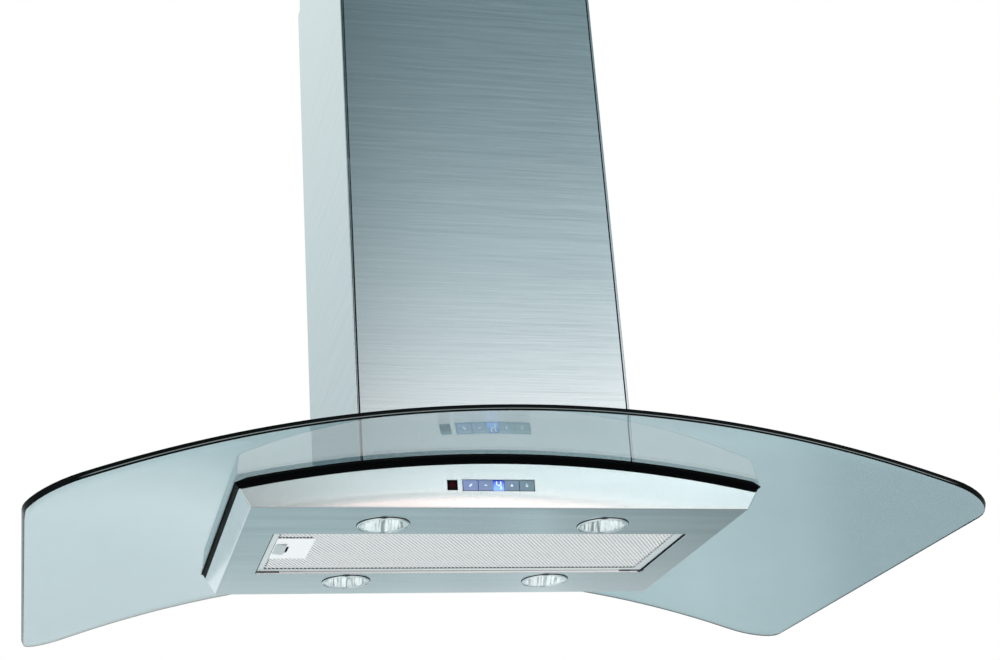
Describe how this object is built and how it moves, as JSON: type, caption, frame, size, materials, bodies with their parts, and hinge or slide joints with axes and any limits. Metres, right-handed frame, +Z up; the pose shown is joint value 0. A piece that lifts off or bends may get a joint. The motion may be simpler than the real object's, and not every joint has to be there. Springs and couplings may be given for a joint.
{
  "type": "curved glass range hood",
  "caption": "Island range hood: arched glass canopy over a flat steel body with lamps, keys and a drop-down grease filter, under a telescoping square duct cover.",
  "frame": {"origin": "middle of the ceiling plate's upper face, on the ceiling", "axes": "+Z up into the ceiling, -Y the front with the keys, +X to the right seen from the front"},
  "size_m": [0.9, 0.6, 0.8339],
  "materials": {
    "cover_steel": "horizontally brushed stainless steel",
    "body_steel": "brushed stainless steel",
    "zinc_steel": "galvanised sheet",
    "fastener_steel": "bright zinc plated",
    "canopy_glass": "clear, slightly grey green, dark polished edge",
    "seal_rubber": "black, smooth",
    "blower_plastic": "dark grey, fine grain",
    "motor_enamel": "dark grey enamel",
    "black_plastic": "black",
    "capacitor_can": "white",
    "board_green": "solder mask",
    "lamp_chrome": "polished",
    "lamp_glass": "clear, fluted",
    "bulb_glass": "clear capsule",
    "key_metal": "silver blue, satin",
    "display_blue": "blue, lit",
    "ir_dark_red": "dark red, clear",
    "filter_aluminium": "bright, expanded mesh",
    "handle_aluminium": "satin"
  },
  "bodies": {
    "ceiling": {"ceiling_plate": "zinc_steel", "upper_posts": "zinc_steel", "upper_chimney_shell": "cover_steel", "upper_chimney_front": "cover_steel", "upper_cover_screws": "fastener_steel"},
    "hood": {"base_frame": "zinc_steel", "blower_casing": "zinc_steel", "blower_scroll": "blower_plastic", "body_shell": "body_steel", "body_straps": "zinc_steel", "cable_gland": "black_plastic", "capacitor": "capacitor_can", "casing_cover": "zinc_steel", "casing_screws": "fastener_steel", "control_board": "board_green", "control_carrier": "black_plastic", "cover_brackets": "zinc_steel", "display_window": "display_blue", "frame_studs": "fastener_steel", "glass_canopy": "canopy_glass", "glass_gasket": "seal_rubber", "glass_grommets": "seal_rubber", "height_bolts": "fastener_steel", "hinge_brackets": "zinc_steel", "ir_window": "ir_dark_red", "key_switches": "black_plastic", "lamp_bezel_front_left": "lamp_chrome", "lamp_bezel_front_right": "lamp_chrome", "lamp_bezel_rear_left": "lamp_chrome", "lamp_bezel_rear_right": "lamp_chrome", "lamp_bulbs": "bulb_glass", "lamp_housings": "zinc_steel", "lamp_lens_front_left": "lamp_glass", "lamp_lens_front_right": "lamp_glass", "lamp_lens_rear_left": "lamp_glass", "lamp_lens_rear_right": "lamp_glass", "lamp_transformer": "black_plastic", "lower_chimney_front": "cover_steel", "lower_chimney_shell": "cover_steel", "lower_posts": "zinc_steel", "motor_bearing": "fastener_steel", "motor_bracket": "zinc_steel", "motor_housing": "motor_enamel", "outlet_collar": "blower_plastic", "plenum": "zinc_steel", "stud_sleeves": "fastener_steel", "terminal_box": "black_plastic", "terminal_cover": "black_plastic"},
    "fan": {"impeller": "blower_plastic", "motor_shaft": "fastener_steel"},
    "damper_front": {"damper_flap_front": "blower_plastic"},
    "damper_rear": {"damper_flap_rear": "blower_plastic"},
    "filter": {"filter_frame": "filter_aluminium", "filter_mesh": "filter_aluminium", "filter_handle": "handle_aluminium"},
    "latch": {"filter_latch": "handle_aluminium"},
    "key_power": {"button_power": "key_metal"},
    "key_slower": {"button_slower": "key_metal"},
    "key_faster": {"button_faster": "key_metal"},
    "key_light": {"button_light": "key_metal"}
  },
  "joints": [
    {"name": "height_slide", "type": "slide", "parent": "ceiling", "child": "hood", "axis": [0, 0, -1], "range_m": [0, 0.3]},
    {"name": "fan_spin", "type": "hinge", "parent": "hood", "child": "fan", "pos_m": [0, -0.015, -0.673], "axis": [1, 0, 0], "continuous": true},
    {"name": "damper_front_pivot", "type": "hinge", "parent": "hood", "child": "damper_front", "pos_m": [0, -0.005, -0.482], "axis": [-1, 0, 0], "range_deg": [0, 80]},
    {"name": "damper_rear_pivot", "type": "hinge", "parent": "hood", "child": "damper_rear", "pos_m": [0, 0.005, -0.482], "axis": [1, 0, 0], "range_deg": [0, 80]},
    {"name": "filter_hinge", "type": "hinge", "parent": "hood", "child": "filter", "pos_m": [0.208, 0, -0.793], "axis": [0, -1, 0], "range_deg": [0, 80]},
    {"name": "latch_slide", "type": "slide", "parent": "filter", "child": "latch", "axis": [1, 0, 0], "range_m": [0, 0.0045], "stiffness_N_per_m": 400, "springref_m": -0.004},
    {"name": "key_power_press", "type": "slide", "parent": "hood", "child": "key_power", "axis": [0, 1, 0], "range_m": [0, 0.0006], "stiffness_N_per_m": 1500, "springref_m": -0.0004},
    {"name": "key_slower_press", "type": "slide", "parent": "hood", "child": "key_slower", "axis": [0, 1, 0], "range_m": [0, 0.0006], "stiffness_N_per_m": 1500, "springref_m": -0.0004},
    {"name": "key_faster_press", "type": "slide", "parent": "hood", "child": "key_faster", "axis": [0, 1, 0], "range_m": [0, 0.0006], "stiffness_N_per_m": 1500, "springref_m": -0.0004},
    {"name": "key_light_press", "type": "slide", "parent": "hood", "child": "key_light", "axis": [0, 1, 0], "range_m": [0, 0.0006], "stiffness_N_per_m": 1500, "springref_m": -0.0004}
  ]
}
